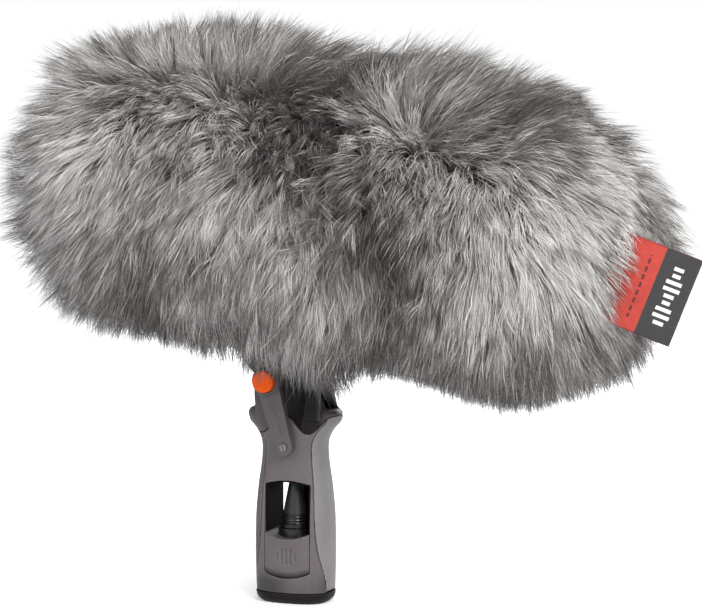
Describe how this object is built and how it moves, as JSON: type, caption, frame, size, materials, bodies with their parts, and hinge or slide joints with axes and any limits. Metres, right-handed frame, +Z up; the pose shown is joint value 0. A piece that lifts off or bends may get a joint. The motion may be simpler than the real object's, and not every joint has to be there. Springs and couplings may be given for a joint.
{
  "type": "furry windscreen",
  "caption": "Long-pile fur windscreen over a basket windshield, on a soft-grip pistol handle with a clamping tilt hub.",
  "frame": {"origin": "centre of the boom thread's mouth on the handle's bottom face", "axes": "+Z up along the handle, +X to the rear of the windshield (label end), -Y the clamp lever's side"},
  "size_m": [0.3892, 0.1718, 0.3128],
  "materials": {
    "hard_shell": "satin moulded, warm grey",
    "soft_grip": "soft-touch overmould, lighter grey",
    "black_plastic": "glossy black moulding",
    "base_plastic": "dark satin base",
    "button_orange": "bright orange moulding",
    "steel": "zinc-plated screws and bolt",
    "brass": "threaded brass insert",
    "connector_black": "black coated connector shell",
    "contact_metal": "plated contacts",
    "boot_rubber": "cable boot and jacket",
    "washer_nylon": "friction washers",
    "bar_alloy": "anodised bar",
    "basket_plastic": "lattice moulding",
    "acoustic_mesh": "fine acoustic mesh",
    "lyre_red": "springy suspension moulding",
    "fur": "long-pile synthetic fur, mid grey",
    "hem": "elastic binding and hook strip",
    "label_weave": "woven two-colour label"
  },
  "bodies": {
    "handle": {"handle_core": "hard_shell", "grip_pad_front": "soft_grip", "grip_pad_rear": "soft_grip", "base_cap": "base_plastic", "thread_insert": "brass", "base_screws": "steel", "plug_holder": "hard_shell", "window_liner": "black_plastic", "yoke_head": "hard_shell", "head_screws": "steel", "friction_washers": "washer_nylon", "tilt_nut": "steel", "nut_cover": "black_plastic"},
    "windshield": {"tilt_arm": "black_plastic", "saddle_pad": "boot_rubber", "chassis_foot": "base_plastic", "arm_screws": "steel", "chassis_bar": "bar_alloy", "pod_tube": "basket_plastic", "pod_mesh": "acoustic_mesh", "front_ring": "base_plastic", "rear_ring": "base_plastic", "cable_upper": "boot_rubber", "mic_connector": "connector_black", "fur_cover": "fur", "closure_strip": "hem", "hem_band": "hem", "label_tab": "label_weave"},
    "lever": {"lever_arm": "hard_shell", "lever_screw": "steel", "tilt_bolt": "steel"},
    "button": {"push_button": "button_orange"},
    "plug": {"xlr_shell": "connector_black", "xlr_insert": "black_plastic", "xlr_pins": "contact_metal", "xlr_ring": "connector_black", "xlr_boot": "boot_rubber", "cable_lower": "boot_rubber"},
    "nose_cap": {"front_cap_frame": "basket_plastic", "front_cap_mesh": "acoustic_mesh"},
    "tail_cap": {"rear_cap_frame": "basket_plastic", "rear_cap_mesh": "acoustic_mesh"},
    "front_mount": {"front_carrier": "base_plastic", "front_lyre": "lyre_red", "front_mic_clip": "base_plastic"},
    "rear_mount": {"rear_carrier": "base_plastic", "rear_lyre": "lyre_red", "rear_mic_clip": "base_plastic"},
    "front_lock": {"front_lock_screw": "black_plastic"},
    "rear_lock": {"rear_lock_screw": "black_plastic"}
  },
  "joints": [
    {"name": "windshield_tilt", "type": "hinge", "parent": "handle", "child": "windshield", "pos_m": [-0.009, 0, 0.1214], "axis": [0, 1, 0], "range_deg": [-40, 25]},
    {"name": "lever_swing", "type": "hinge", "parent": "handle", "child": "lever", "pos_m": [-0.009, 0, 0.1214], "axis": [0, 1, 0], "range_deg": [-60, 0]},
    {"name": "button_press", "type": "slide", "parent": "lever", "child": "button", "axis": [0, 1, 0], "range_m": [0, 0.0018], "stiffness_N_per_m": 400},
    {"name": "plug_lift", "type": "slide", "parent": "handle", "child": "plug", "axis": [0, 0, 1], "range_m": [0, 0.018]},
    {"name": "nose_cap_twist", "type": "hinge", "parent": "windshield", "child": "nose_cap", "pos_m": [-0.07387, 0, 0.2306], "axis": [0.9863, 0, -0.165], "range_deg": [-20, 0]},
    {"name": "tail_cap_twist", "type": "hinge", "parent": "windshield", "child": "tail_cap", "pos_m": [0.12339, 0, 0.19759], "axis": [0.9863, 0, -0.165], "range_deg": [-20, 0]},
    {"name": "front_mount_slide", "type": "slide", "parent": "windshield", "child": "front_mount", "axis": [0.9863, 0, -0.165], "range_m": [-0.008, 0.007]},
    {"name": "rear_mount_slide", "type": "slide", "parent": "windshield", "child": "rear_mount", "axis": [0.9863, 0, -0.165], "range_m": [-0.012, 0.012]},
    {"name": "front_lock_turn", "type": "hinge", "parent": "front_mount", "child": "front_lock", "pos_m": [-0.04884, -0.012, 0.18627], "axis": [0, 1, 0], "range_deg": [0, 180]},
    {"name": "rear_lock_turn", "type": "hinge", "parent": "rear_mount", "child": "rear_lock", "pos_m": [0.07938, -0.012, 0.16481], "axis": [0, 1, 0], "range_deg": [0, 180]}
  ]
}
